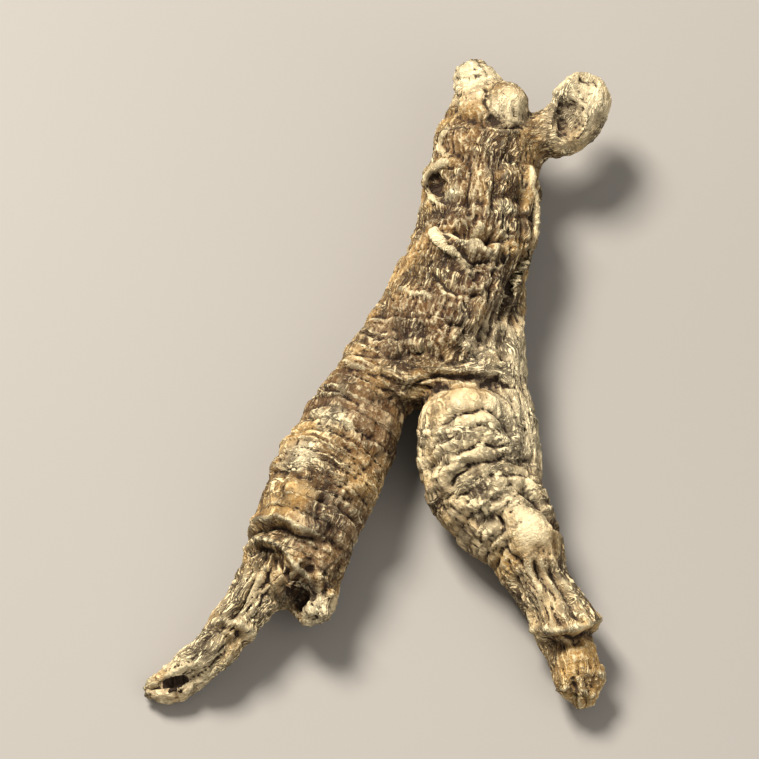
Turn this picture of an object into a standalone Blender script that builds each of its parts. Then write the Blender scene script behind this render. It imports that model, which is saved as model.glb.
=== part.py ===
"""A dried, forked ginseng root that lies on its back: one grown piece, so one closed solid.

The root is a field that is negative inside it. Each limb is a row of stations down its middle,
joined by round cones, and knobs are balls. They melt into each other, the stem scars and broken
ends are hollowed out of them, and the surface of the field is the skin. Lumps, rings, furrows,
creases and lips then raise or sink that skin along its normals, and the side that it lies on is
flattened where it touches.

Lengths are in millimetres until the finished mesh is scaled to metres. +Y runs up the root to its
crown, +X to the leg with the cuff, and +Z up from the surface that the root lies on.
"""

import bpy
import numpy as np
import openvdb
from mathutils import Vector, noise

MM = 0.001

# Driving dimensions
SKIN_CELL = 0.90  # side of the sampling cubes, and so of the skin's faces
SKIN_PASSES = 3  # smoothing passes that even out the faces
MARGIN = 1.6  # room round the limbs for the sampling grid
STEPS_PER_SPAN = 4  # cones between two stations
LIMB_MELT = 0.35  # how softly separate limbs run into each other
HOLLOW_MELT = 0.15  # how soft the rim of a hollow is
SLOPE_STEP = 0.02  # how far to each side the field is read for its slope

# Where the middle of the finished box lies, so that the origin is under it
CENTRE_X = -0.08
CENTRE_Y = 0.12

# How deep the resting side is cut flat
REST_DEPTH = 0.3

# Lumps all over the skin
LUMP_LENGTH = 5.0
LUMP_HEIGHT = 0.45
BUMP_LENGTH = 2.2
BUMP_HEIGHT = 0.22

# Rings across a limb: how they wander, come and go, and pinch in between
RING_WARP_LENGTH = 5.0
RING_WARP = 1.0  # in rings
RING_FADE_LENGTH = 4.0
RING_LEAST = 0.2
RING_MOST = 1.3
RING_SHARPNESS = 0.6
RING_REST = 0.65  # the level of the plain skin in a ring's height

# Furrows along a limb
FURROW_LENGTH = 8.0
FURROW_WIDTH = 1.5
FURROW_REST = 0.35

# Where in the noise each kind of relief is read, so that they differ
FADE_PLACE = 31.0
FURROW_PLACE = 57.0
BUMP_PLACE = 83.0

# How far the rings and furrows of one limb reach into the next
RELIEF_REACH = 0.45
LEAST_WEIGHT = 0.001

# Every limb: stations of x, y, z and radius down its middle, the height and spacing of its rings,
# and the height of its furrows
LIMBS = {
    "torso": {
        "stations": [
            (10.4, 23.4, 6.2, 4.0),
            (9.4, 20.4, 6.0, 4.8),
            (9.1, 17.1, 5.8, 5.5),
            (8.6, 13.4, 5.6, 5.7),
            (7.4, 9.4, 5.6, 5.8),
            (6.0, 5.4, 5.6, 6.0),
            (5.0, 2.7, 5.8, 5.4),
        ],
        "rings": (0.40, 3.2),
        "furrows": 0.80,
    },
    "left_thigh": {
        "stations": [
            (5.2, 6.3, 5.6, 4.9),
            (1.6, 2.4, 5.4, 4.5),
            (-1.4, -1.5, 5.2, 4.2),
            (-3.2, -6.2, 5.2, 4.9),
            (-5.4, -10.9, 5.3, 5.2),
            (-7.0, -15.3, 5.2, 4.9),
            (-8.0, -18.3, 4.9, 4.2),
        ],
        "rings": (0.60, 2.8),
        "furrows": 0.35,
    },
    "flank": {
        "stations": [
            (9.4, 9.5, 5.9, 3.0),
            (10.5, 3.9, 6.0, 2.7),
            (11.0, -1.0, 6.0, 2.7),
            (11.3, -5.4, 5.8, 3.0),
            (11.4, -9.3, 5.6, 3.3),
        ],
        "rings": (0.15, 3.0),
        "furrows": 1.10,
    },
    "neck": {
        "stations": [
            (10.4, 21.6, 6.2, 3.8),
            (9.6, 25.3, 6.8, 3.5),
            (9.3, 28.2, 7.4, 2.7),
            (8.6, 30.3, 7.9, 2.0),
        ],
        "rings": (0.50, 2.4),
        "furrows": 0.50,
    },
    "right_thigh": {
        "stations": [
            (7.8, -6.1, 7.6, 4.5),
            (8.2, -8.4, 6.4, 5.0),
            (9.2, -10.5, 5.4, 5.2),
            (10.5, -12.4, 5.1, 5.0),
            (12.2, -14.7, 4.8, 3.9),
            (13.6, -17.2, 4.5, 3.1),
        ],
        "rings": (0.65, 2.5),
        "furrows": 0.25,
    },
    "right_ankle": {
        "stations": [
            (13.2, -15.8, 4.7, 3.2),
            (13.8, -17.4, 4.5, 3.0),
            (14.5, -19.5, 4.2, 2.7),
            (15.6, -21.8, 3.9, 2.8),
            (16.6, -24.0, 3.7, 3.1),
        ],
        "rings": (0.05, 3.0),
        "furrows": 0.90,
    },
    "right_toe": {
        "stations": [
            (16.8, -24.2, 3.6, 2.5),
            (17.4, -26.4, 3.3, 2.4),
            (18.0, -28.9, 3.0, 2.1),
            (18.4, -30.4, 2.8, 1.6),
        ],
        "rings": (0.25, 2.2),
        "furrows": 0.70,
    },
    "left_stub": {
        "stations": [
            (-6.4, -16.1, 5.0, 4.0),
            (-5.8, -19.6, 4.8, 2.6),
            (-6.0, -22.1, 4.6, 2.3),
        ],
        "rings": (0.20, 2.0),
        "furrows": 0.50,
    },
    "left_tail": {
        "stations": [
            (-8.4, -15.7, 5.2, 3.6),
            (-10.4, -19.6, 4.8, 2.8),
            (-12.4, -22.8, 4.2, 2.4),
            (-14.4, -25.2, 3.6, 2.2),
            (-16.0, -26.9, 3.0, 2.1),
            (-17.8, -28.4, 2.4, 1.8),
            (-19.4, -29.3, 2.0, 1.4),
            (-20.8, -29.6, 1.7, 0.8),
        ],
        "rings": (0.12, 2.6),
        "furrows": 0.80,
    },
    "front_bud": {
        "stations": [
            (10.8, 25.0, 7.5, 2.2),
            (11.8, 26.7, 9.0, 1.9),
        ],
        "rings": (0.10, 1.8),
        "furrows": 0.30,
    },
    "groin_fold": {
        "stations": [
            (-2.2, 0.2, 7.6, 1.2),
            (1.0, -1.1, 8.0, 1.5),
            (4.0, -1.6, 8.1, 1.7),
            (7.5, -1.0, 8.1, 1.8),
            (10.5, -0.2, 7.8, 1.5),
        ],
        "rings": (0.10, 2.0),
        "furrows": 0.30,
    },
    "side_scar": {
        "stations": [
            (12.0, 23.3, 6.4, 2.4),
            (15.0, 24.8, 6.8, 2.2),
            (17.7, 25.6, 7.2, 2.7),
            (18.8, 27.9, 7.6, 2.7),
        ],
        "rings": (0.20, 2.0),
        "furrows": 0.35,
    },
}

# Limbs that run into each other more softly than the rest, and how softly
MELTS = [
    (1.0, ["torso", "left_thigh", "flank", "neck"]),
    (LIMB_MELT, ["groin_fold"]),
    (0.8, ["right_thigh", "right_ankle"]),
    (LIMB_MELT, ["right_toe"]),
    (LIMB_MELT, ["left_stub"]),
    (LIMB_MELT, ["left_tail"]),
    (LIMB_MELT, ["front_bud"]),
    (LIMB_MELT, ["side_scar"]),
]

# Knobs that stand out of the limbs: place and radius of each
KNOBS = [
    (13.7, -16.4, 6.9, 2.3),
    (9.8, -14.1, 8.2, 1.7),
    (-7.8, -13.6, 7.8, 2.6),
    (-2.3, -11.2, 6.6, 2.4),
    (19.2, -28.8, 3.4, 1.2),
    (17.4, -29.6, 3.4, 1.6),
    (5.3, 19.0, 7.9, 1.7),
    (6.4, 23.9, 7.4, 1.3),
]
KNOB_MELT = 0.25

# Hollows, as in stem scars, pits and torn ends: the middle and the three half-widths of each
HOLLOWS = [
    ((17.6, 24.9, 10.1), (1.5, 2.3, 1.7)),
    ((19.2, 27.7, 10.8), (1.6, 1.9, 1.4)),
    ((-8.1, -23.1, 6.0), (1.4, 1.7, 1.3)),
    ((-6.8, -20.9, 8.3), (0.9, 1.2, 1.0)),
    ((10.9, 24.6, 11.2), (1.1, 0.8, 0.9)),
    ((9.2, 7.9, 11.6), (1.1, 0.8, 0.9)),
]

# Lips and creases on the upper side, seen from above: height, which is negative in a crease,
# width, and places
MARKS = {
    "groin_crease": (-0.4, 0.4, [(2.8, -2.9), (4.9, -2.7), (8.2, -2.3), (12.2, -1.9)]),
    "groin_lip": (0.3, 0.5, [(-3.0, 0.4), (0.3, -1.1), (2.8, -1.7), (7.2, -1.2)]),
    "hip_crease": (-0.3, 0.5, [(-6.0, -1.5), (-3.2, -3.1), (1.2, -3.9)]),
    "thigh_crease": (-0.4, 0.6, [(-7.4, -4.5), (-5.1, -5.5), (-2.8, -7.0), (-0.8, -7.4)]),
    "upper_band": (-0.4, 0.6, [(-8.4, -6.2), (-6.4, -6.6), (-2.4, -9.3), (0.0, -9.1)]),
    "middle_band": (-0.5, 0.6, [(-10.4, -10.3), (-7.2, -11.5), (-3.2, -14.0), (-1.0, -13.4)]),
    "shin_line": (-0.5, 0.6, [(-4.8, -14.4), (-3.4, -14.8), (-2.2, -15.2)]),
    "left_cuff": (0.5, 0.7, [(-12.6, -15.0), (-9.7, -15.3), (-7.8, -16.8), (-6.0, -17.2)]),
    "left_cuff_gap": (-0.8, 0.7, [(-12.4, -16.1), (-9.8, -16.6), (-6.0, -18.3), (-4.0, -17.9)]),
    "sleeve": (0.5, 0.7, [(-13.0, -16.8), (-11.0, -17.4), (-9.2, -18.9), (-6.8, -21.1)]),
    "sleeve_gap": (-0.7, 0.7, [(-12.8, -18.0), (-11.0, -18.6), (-9.5, -19.9), (-7.2, -22.0)]),
    "tail_furrow": (-0.4, 0.5, [(-11.4, -19.2), (-12.0, -20.7), (-13.0, -23.1)]),
    "tail_side_furrow": (-0.4, 0.5, [(-9.8, -20.4), (-10.6, -21.6), (-11.8, -23.7)]),
    "tail_band": (0.4, 0.6, [(-14.4, -24.8), (-12.8, -25.3), (-11.4, -25.7)]),
    "tail_slot": (-0.6, 0.6, [(-21.0, -29.8), (-19.2, -29.8), (-17.2, -29.4)]),
    "dome_fold": (-0.5, 0.6, [(6.2, -7.3), (8.4, -6.1), (10.8, -5.8), (12.4, -7.9)]),
    "second_fold": (-0.5, 0.6, [(4.2, -10.6), (5.8, -10.2), (8.4, -9.0), (10.4, -8.7)]),
    "third_fold": (-0.5, 0.6, [(6.2, -12.4), (7.4, -11.6), (11.2, -10.2), (13.4, -9.4)]),
    "knee_fold": (-0.6, 0.6, [(10.4, -14.7), (11.1, -13.7), (13.3, -13.0), (15.9, -15.1)]),
    "knee_side": (-0.5, 0.6, [(7.4, -16.0), (8.1, -15.7), (9.6, -15.8), (11.1, -16.0)]),
    "ankle_inner": (-0.6, 0.5, [(12.4, -20.4), (13.2, -22.5), (14.1, -24.9)]),
    "ankle_middle": (-0.7, 0.5, [(14.4, -19.8), (15.2, -22.2), (16.1, -25.2)]),
    "ankle_outer": (-0.6, 0.5, [(15.6, -20.2), (16.8, -22.4), (18.0, -24.6)]),
    "right_cuff": (0.5, 0.6, [(13.5, -25.1), (15.7, -25.9), (18.2, -25.2), (20.1, -23.6)]),
    "right_cuff_gap": (-0.5, 0.6, [(13.6, -26.0), (15.7, -27.1), (18.2, -26.5), (20.1, -24.7)]),
    "chest_upper_lip": (0.5, 0.6, [(5.0, 13.4), (6.2, 13.9), (8.0, 13.4), (10.0, 12.9)]),
    "chest_slit": (-0.9, 0.6, [(6.0, 12.4), (7.4, 12.2), (8.7, 11.7), (11.4, 12.2)]),
    "chest_lower_lip": (0.7, 0.6, [(5.1, 12.2), (6.0, 10.7), (8.6, 10.3), (10.6, 10.7)]),
    "chest_fold": (-0.4, 0.6, [(5.6, 9.6), (7.5, 8.5), (10.6, 8.6), (11.8, 10.2)]),
    "belly_fold": (-0.4, 0.6, [(-2.0, 1.4), (0.4, 0.6), (5.2, -0.1), (7.6, 0.5)]),
    "waist_fold": (-0.4, 0.6, [(-0.8, 3.9), (1.2, 2.3), (3.6, 2.6), (8.4, 2.5)]),
    "flank_furrow": (-0.8, 0.7, [(13.6, 10.7), (12.6, 8.1), (11.4, 5.7), (9.4, 1.6)]),
    "flank_side_furrow": (-0.6, 0.6, [(14.4, 12.5), (13.6, 9.5), (12.6, 6.5), (11.2, 1.1)]),
    "shoulder_ridge": (0.6, 0.6, [(13.8, 19.6), (14.8, 18.5), (15.0, 16.9), (14.0, 12.1)]),
    "shoulder_loop": (0.5, 0.6, [(6.2, 20.2), (5.0, 20.0), (4.3, 18.9), (4.8, 16.0)]),
    "collar": (-0.5, 0.6, [(4.4, 18.1), (6.4, 15.8), (10.4, 15.6), (12.8, 17.0)]),
    "throat": (-0.6, 0.7, [(6.4, 21.6), (8.0, 20.1), (10.0, 19.8), (12.2, 20.8)]),
    "nape": (-0.5, 0.6, [(6.6, 26.3), (8.0, 24.7), (9.6, 24.2)]),
    "breast_furrow": (-0.5, 0.5, [(7.8, 19.2), (7.4, 17.0), (8.2, 14.7)]),
    "breast_side_furrow": (-0.5, 0.5, [(11.2, 19.2), (10.8, 16.9), (12.0, 12.8)]),
}

# How far lips and creases wander off their line, how strongly they show where the skin stands
# upright, and how much more as it turns upwards
WANDER_LENGTH = 1.4
WANDER = 0.5
UPRIGHT_SHARE = 0.5
UPWARD_GAIN = 1.5


def smooth_row(stations):
    """The stations with a Catmull-Rom curve run through them, places and radii alike."""
    known = np.array(stations, float)
    known = np.vstack([2 * known[0] - known[1], known, 2 * known[-1] - known[-2]])
    row = []
    for a, b, c, d in zip(known, known[1:], known[2:], known[3:]):
        for t in np.arange(STEPS_PER_SPAN) / STEPS_PER_SPAN:
            row.append(
                b
                + 0.5 * t * (c - a)
                + t * t * (a - 2.5 * b + 2 * c - 0.5 * d)
                + 0.5 * t**3 * (3 * b - a - 3 * c + d)
            )
    row.append(known[-2])
    return np.array(row)


ROWS = {name: smooth_row(limb["stations"]) for name, limb in LIMBS.items()}


def limb_place(points, row):
    """Each point's distance from a limb's skin, how far along the limb it is, and its place beside
    the limb's middle: sideways and upwards."""
    nearest = np.full(len(points), np.inf)
    along = np.zeros(len(points))
    beside = np.zeros((len(points), 2))
    passed = 0.0
    for start, end in zip(row, row[1:]):
        axis = end[:3] - start[:3]
        length = np.linalg.norm(axis)
        offset = points - start[:3]
        t = np.clip(offset @ axis / length**2, 0, 1)
        offset -= t[:, None] * axis
        gap = np.sqrt((offset**2).sum(1)) - start[3] - t * (end[3] - start[3])
        closer = gap < nearest
        nearest[closer] = gap[closer]
        along[closer] = passed + t[closer] * length
        side = np.cross(axis / length, (0, 0, 1))
        side /= np.linalg.norm(side)
        rise = np.cross(side, axis / length)
        beside[closer, 0] = offset[closer] @ side
        beside[closer, 1] = offset[closer] @ rise
        passed += length
    return nearest, along, beside


def melted(distances, softness):
    """The smooth union of several distances."""
    least = np.min(distances, axis=0)
    spread = sum(np.exp((least - d) / softness) for d in distances)
    return least - softness * np.log(spread)


def field(points):
    """How far each point is outside the root, without its relief."""
    groups = []
    for softness, names in MELTS:
        distances = [limb_place(points, ROWS[name])[0] for name in names]
        groups.append(melted(distances, softness))
    outside = melted(groups, LIMB_MELT)
    knobs = [np.linalg.norm(points - place, axis=1) - radius for *place, radius in KNOBS]
    outside = melted([outside, *knobs], KNOB_MELT)
    for middle, half_widths in HOLLOWS:
        shape = np.linalg.norm((points - middle) / half_widths, axis=1) - 1
        hollow = shape * min(half_widths)
        outside = -melted([-outside, hollow], HOLLOW_MELT)
    return outside


def sampled_skin(cell):
    """Points and quads of the field's surface, sampled on cubes of this side."""
    reach = np.vstack([row[:, :3] - row[:, 3:] for row in ROWS.values()])
    low = reach.min(0) - MARGIN
    reach = np.vstack([row[:, :3] + row[:, 3:] for row in ROWS.values()])
    high = reach.max(0) + MARGIN
    sides = [np.arange(a, b, cell) for a, b in zip(low, high)]
    places = np.stack(np.meshgrid(*sides, indexing="ij"), -1)
    values = field(places.reshape(-1, 3)).reshape(places.shape[:3])
    grid = openvdb.FloatGrid(float(values.max()))
    grid.copyFromArray(values.astype(np.float32))
    points, quads = grid.convertToQuads()
    return points * cell + low, np.array(quads, int)


def slope(points):
    """The field's slope at each point, which points straight out of the skin."""
    moves = np.eye(3) * SLOPE_STEP
    rise = [field(points + move) - field(points - move) for move in moves]
    return np.stack(rise, 1) / (2 * SLOPE_STEP)


def evened(points, quads, passes):
    """The points moved sideways to even out the faces, and put back on the skin."""
    ends = np.vstack([quads[:, [0, 1]], quads[:, [1, 2]], quads[:, [2, 3]], quads[:, [3, 0]]])
    count = np.bincount(ends[:, 0], minlength=len(points))[:, None]
    for _ in range(passes):
        total = np.zeros_like(points)
        np.add.at(total, ends[:, 0], points[ends[:, 1]])
        points = 0.5 * points + 0.5 * total / count
        out = slope(points)
        steep = (out**2).sum(1)
        points = points - (field(points) / steep)[:, None] * out
    return points


def noise_at(points, length):
    """Smooth noise from -1 to 1 at each point, with lumps about this long."""
    return np.array([noise.noise(Vector(p)) for p in points / length])


def limb_relief(limb, along, beside):
    """The rings and furrows of one limb, as heights above its skin."""
    ring_height, ring_spacing = limb["rings"]
    inner = np.column_stack([along, beside])
    warp = noise_at(inner, RING_WARP_LENGTH) * RING_WARP
    fade = RING_REST + noise_at(inner + FADE_PLACE, RING_FADE_LENGTH)
    fade = np.clip(fade, RING_LEAST, RING_MOST)
    ring = np.abs(np.sin(np.pi * (along / ring_spacing + warp))) ** RING_SHARPNESS
    stretch = np.array([FURROW_WIDTH / FURROW_LENGTH, 1, 1])
    furrow = np.abs(noise_at(inner * stretch + FURROW_PLACE, FURROW_WIDTH))
    return ring_height * fade * (ring - RING_REST) + limb["furrows"] * (FURROW_REST - furrow)


def mark_relief(points, facing):
    """How far the lips and creases raise or sink the upper side of the skin."""
    wander = [noise_at(points + place, WANDER_LENGTH) for place in (FADE_PLACE, FURROW_PLACE)]
    plan = points[:, :2] + WANDER * np.stack(wander, 1)
    height = np.zeros(len(points))
    for rise, width, places in MARKS.values():
        places = np.array(places)
        gap = np.full(len(points), np.inf)
        for start, end in zip(places, places[1:]):
            axis = end - start
            t = np.clip((plan - start) @ axis / (axis @ axis), 0, 1)
            gap = np.minimum(gap, np.linalg.norm(plan - start - t[:, None] * axis, axis=1))
        height += rise * np.exp(-((gap / width) ** 2))
    return height * facing


def relief(points, out):
    """How far the skin stands above the plain field at each point."""
    height = LUMP_HEIGHT * noise_at(points, LUMP_LENGTH)
    height += BUMP_HEIGHT * noise_at(points + BUMP_PLACE, BUMP_LENGTH)
    total = np.zeros(len(points))
    weights = np.full(len(points), LEAST_WEIGHT)
    for name, limb in LIMBS.items():
        gap, along, beside = limb_place(points, ROWS[name])
        weight = np.exp(-np.clip(gap, 0, None) / RELIEF_REACH)
        near = weight > LEAST_WEIGHT
        total[near] += weight[near] * limb_relief(limb, along[near], beside[near])
        weights[near] += weight[near]
    facing = np.clip(UPRIGHT_SHARE + UPWARD_GAIN * out[:, 2], 0, 1)
    return height + total / weights + mark_relief(points, facing)


def build_skin():
    """The finished skin as points in millimetres and quads."""
    points, quads = sampled_skin(SKIN_CELL)
    points = evened(points, quads, SKIN_PASSES)
    out = slope(points)
    out /= np.linalg.norm(out, axis=1)[:, None]
    points = points + relief(points, out)[:, None] * out
    points -= (CENTRE_X, CENTRE_Y, REST_DEPTH)
    points[:, 2] = np.maximum(points[:, 2], 0)
    return points, quads


def material():
    skin = bpy.data.materials.new("dried_root_skin")
    skin.use_nodes = True
    shader = skin.node_tree.nodes["Principled BSDF"]
    shader.inputs["Base Color"].default_value = (0.50, 0.34, 0.17, 1)
    shader.inputs["Roughness"].default_value = 0.85
    shader.inputs["Metallic"].default_value = 0.0
    return skin


def main():
    for old in list(bpy.data.objects):
        bpy.data.objects.remove(old)
    points, quads = build_skin()
    mesh = bpy.data.meshes.new("ginseng_root")
    mesh.from_pydata(points * MM, [], quads.tolist())
    mesh.materials.append(material())
    root = bpy.data.objects.new("ginseng_root", mesh)
    bpy.context.scene.collection.objects.link(root)


if __name__ == "__main__":
    main()
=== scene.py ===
"""A dried, forked ginseng root as it looks, in the place and at the size of its solid.

The skin is the same field as the solid's, sampled finely, with the solid's lumps, rings, furrows,
creases and lips, and then the wrinkles, the net of cracks and the threads that are too fine for
the solid. How far each point stands above its surroundings is kept on the mesh, and the material
paints shade into the creases and hollows by it, and pales the crests by it, partly with their own
pale colour and partly with a painted highlight.

Lengths are in millimetres until the finished mesh is scaled to metres. +Y runs up the root to its
crown, +X to the leg with the round knee, and +Z up from the surface that the root lies on.
"""

import math

import bpy
import numpy as np
import openvdb
from mathutils import Euler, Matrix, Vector, noise

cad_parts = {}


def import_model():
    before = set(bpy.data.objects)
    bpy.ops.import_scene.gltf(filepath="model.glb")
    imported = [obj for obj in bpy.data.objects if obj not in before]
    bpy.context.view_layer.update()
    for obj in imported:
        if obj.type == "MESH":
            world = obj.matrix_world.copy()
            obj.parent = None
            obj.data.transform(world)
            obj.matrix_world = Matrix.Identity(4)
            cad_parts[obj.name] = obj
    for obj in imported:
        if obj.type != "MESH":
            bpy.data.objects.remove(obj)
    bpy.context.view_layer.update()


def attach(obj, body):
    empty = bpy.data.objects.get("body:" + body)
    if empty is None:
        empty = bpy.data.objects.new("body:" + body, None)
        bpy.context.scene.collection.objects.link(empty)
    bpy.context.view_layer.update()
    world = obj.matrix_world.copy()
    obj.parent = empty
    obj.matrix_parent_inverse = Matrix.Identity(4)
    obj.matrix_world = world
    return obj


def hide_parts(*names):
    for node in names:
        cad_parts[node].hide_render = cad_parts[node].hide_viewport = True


MM = 0.001

# Driving dimensions of the skin
SKIN_CELL = 0.22  # side of the sampling cubes, and so of the skin's faces
BLOCK = 4  # cubes to a side of the blocks in which the skin is looked for first
BLOCK_REACH = 1.5  # how near the skin a block is, to be sampled finely
LIMB_REACH = 3.0  # how far from a limb its distance still matters
FAR = 99.0
SKIN_PASSES = 2  # smoothing passes that even out the faces
MARGIN = 1.6  # room round the limbs for the sampling grid
STEPS_PER_SPAN = 4  # cones between two stations
LIMB_MELT = 0.35  # how softly separate limbs run into each other
HOLLOW_MELT = 0.15  # how soft the rim of a hollow is
SLOPE_STEP = 0.02  # how far to each side the field is read for its slope

# Where the middle of the finished box lies, so that the origin is under it
CENTRE_X = -0.08
CENTRE_Y = 0.12

# How deep the resting side is cut flat
REST_DEPTH = 0.3

# Lumps all over the skin
LUMP_LENGTH = 5.0
LUMP_HEIGHT = 0.45
BUMP_LENGTH = 2.2
BUMP_HEIGHT = 0.14

# Rings across a limb: how they wander, come and go, and pinch in between
RING_WARP_LENGTH = 5.0
RING_WARP = 1.0  # in rings
RING_FADE_LENGTH = 4.0
RING_LEAST = 0.2
RING_MOST = 1.3
RING_SHARPNESS = 0.6
RING_REST = 0.65  # the level of the plain skin in a ring's height

# Furrows along a limb
FURROW_LENGTH = 8.0
FURROW_WIDTH = 1.5
FURROW_REST = 0.35

# Where in the noise each kind of relief is read, so that they differ
FADE_PLACE = 31.0
FURROW_PLACE = 57.0
BUMP_PLACE = 83.0

# How far the rings and furrows of one limb reach into the next
RELIEF_REACH = 0.45
LEAST_WEIGHT = 0.001

# Every limb: stations of x, y, z and radius down its middle, the height and spacing of its rings,
# and the height of its furrows
LIMBS = {
    "torso": {
        "stations": [
            (10.4, 23.4, 6.2, 4.0),
            (9.4, 20.4, 6.0, 4.8),
            (9.1, 17.1, 5.8, 5.5),
            (8.6, 13.4, 5.6, 5.7),
            (7.4, 9.4, 5.6, 5.8),
            (6.0, 5.4, 5.6, 6.0),
            (5.0, 2.7, 5.8, 5.4),
        ],
        "rings": (0.40, 3.2),
        "furrows": 0.80,
    },
    "left_thigh": {
        "stations": [
            (5.2, 6.3, 5.6, 4.9),
            (1.6, 2.4, 5.4, 4.5),
            (-1.4, -1.5, 5.2, 4.2),
            (-3.2, -6.2, 5.2, 4.9),
            (-5.4, -10.9, 5.3, 5.2),
            (-7.0, -15.3, 5.2, 4.9),
            (-8.0, -18.3, 4.9, 4.2),
        ],
        "rings": (0.60, 2.8),
        "furrows": 0.35,
    },
    "flank": {
        "stations": [
            (9.4, 9.5, 5.9, 3.0),
            (10.5, 3.9, 6.0, 2.7),
            (11.0, -1.0, 6.0, 2.7),
            (11.3, -5.4, 5.8, 3.0),
            (11.4, -9.3, 5.6, 3.3),
        ],
        "rings": (0.15, 3.0),
        "furrows": 1.10,
    },
    "neck": {
        "stations": [
            (10.4, 21.6, 6.2, 3.8),
            (9.6, 25.3, 6.8, 3.5),
            (9.3, 28.2, 7.4, 2.7),
            (8.6, 30.3, 7.9, 2.0),
        ],
        "rings": (0.50, 2.4),
        "furrows": 0.50,
    },
    "right_thigh": {
        "stations": [
            (7.8, -6.1, 7.6, 4.5),
            (8.2, -8.4, 6.4, 5.0),
            (9.2, -10.5, 5.4, 5.2),
            (10.5, -12.4, 5.1, 5.0),
            (12.2, -14.7, 4.8, 3.9),
            (13.6, -17.2, 4.5, 3.1),
        ],
        "rings": (0.65, 2.5),
        "furrows": 0.25,
    },
    "right_ankle": {
        "stations": [
            (13.2, -15.8, 4.7, 3.2),
            (13.8, -17.4, 4.5, 3.0),
            (14.5, -19.5, 4.2, 2.7),
            (15.6, -21.8, 3.9, 2.8),
            (16.6, -24.0, 3.7, 3.1),
        ],
        "rings": (0.05, 3.0),
        "furrows": 0.90,
    },
    "right_toe": {
        "stations": [
            (16.8, -24.2, 3.6, 2.5),
            (17.4, -26.4, 3.3, 2.4),
            (18.0, -28.9, 3.0, 2.1),
            (18.4, -30.4, 2.8, 1.6),
        ],
        "rings": (0.25, 2.2),
        "furrows": 0.70,
    },
    "left_stub": {
        "stations": [
            (-6.4, -16.1, 5.0, 4.0),
            (-5.8, -19.6, 4.8, 2.6),
            (-6.0, -22.1, 4.6, 2.3),
        ],
        "rings": (0.20, 2.0),
        "furrows": 0.50,
    },
    "left_tail": {
        "stations": [
            (-8.4, -15.7, 5.2, 3.6),
            (-10.4, -19.6, 4.8, 2.8),
            (-12.4, -22.8, 4.2, 2.4),
            (-14.4, -25.2, 3.6, 2.2),
            (-16.0, -26.9, 3.0, 2.1),
            (-17.8, -28.4, 2.4, 1.8),
            (-19.4, -29.3, 2.0, 1.4),
            (-20.8, -29.6, 1.7, 0.8),
        ],
        "rings": (0.12, 2.6),
        "furrows": 0.80,
    },
    "front_bud": {
        "stations": [
            (10.8, 25.0, 7.5, 2.2),
            (11.8, 26.7, 9.0, 1.9),
        ],
        "rings": (0.10, 1.8),
        "furrows": 0.30,
    },
    "groin_fold": {
        "stations": [
            (-2.2, 0.2, 7.6, 1.2),
            (1.0, -1.1, 8.0, 1.5),
            (4.0, -1.6, 8.1, 1.7),
            (7.5, -1.0, 8.1, 1.8),
            (10.5, -0.2, 7.8, 1.5),
        ],
        "rings": (0.10, 2.0),
        "furrows": 0.30,
    },
    "side_scar": {
        "stations": [
            (12.0, 23.3, 6.4, 2.4),
            (15.0, 24.8, 6.8, 2.2),
            (17.7, 25.6, 7.2, 2.7),
            (18.8, 27.9, 7.6, 2.7),
        ],
        "rings": (0.20, 2.0),
        "furrows": 0.35,
    },
}

# Limbs that run into each other more softly than the rest, and how softly
MELTS = [
    (1.0, ["torso", "left_thigh", "flank", "neck"]),
    (LIMB_MELT, ["groin_fold"]),
    (0.8, ["right_thigh", "right_ankle"]),
    (LIMB_MELT, ["right_toe"]),
    (LIMB_MELT, ["left_stub"]),
    (LIMB_MELT, ["left_tail"]),
    (LIMB_MELT, ["front_bud"]),
    (LIMB_MELT, ["side_scar"]),
]

# Knobs that stand out of the limbs: place and radius of each
KNOBS = [
    (13.7, -16.4, 6.9, 2.3),
    (9.8, -14.1, 8.2, 1.7),
    (-7.8, -13.6, 7.8, 2.6),
    (-2.3, -11.2, 6.6, 2.4),
    (19.2, -28.8, 3.4, 1.2),
    (17.4, -29.6, 3.4, 1.6),
    (5.3, 19.0, 7.9, 1.7),
    (6.4, 23.9, 7.4, 1.3),
]
KNOB_MELT = 0.25

# Hollows, as in stem scars, pits and torn ends: the middle and the three half-widths of each
HOLLOWS = [
    ((17.6, 24.9, 10.1), (1.5, 2.3, 1.7)),
    ((19.2, 27.7, 10.8), (1.6, 1.9, 1.4)),
    ((-8.1, -23.1, 6.0), (1.4, 1.7, 1.3)),
    ((-6.8, -20.9, 8.3), (0.9, 1.2, 1.0)),
    ((10.9, 24.6, 11.2), (1.1, 0.8, 0.9)),
    ((9.2, 7.9, 11.6), (1.1, 0.8, 0.9)),
]

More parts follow.
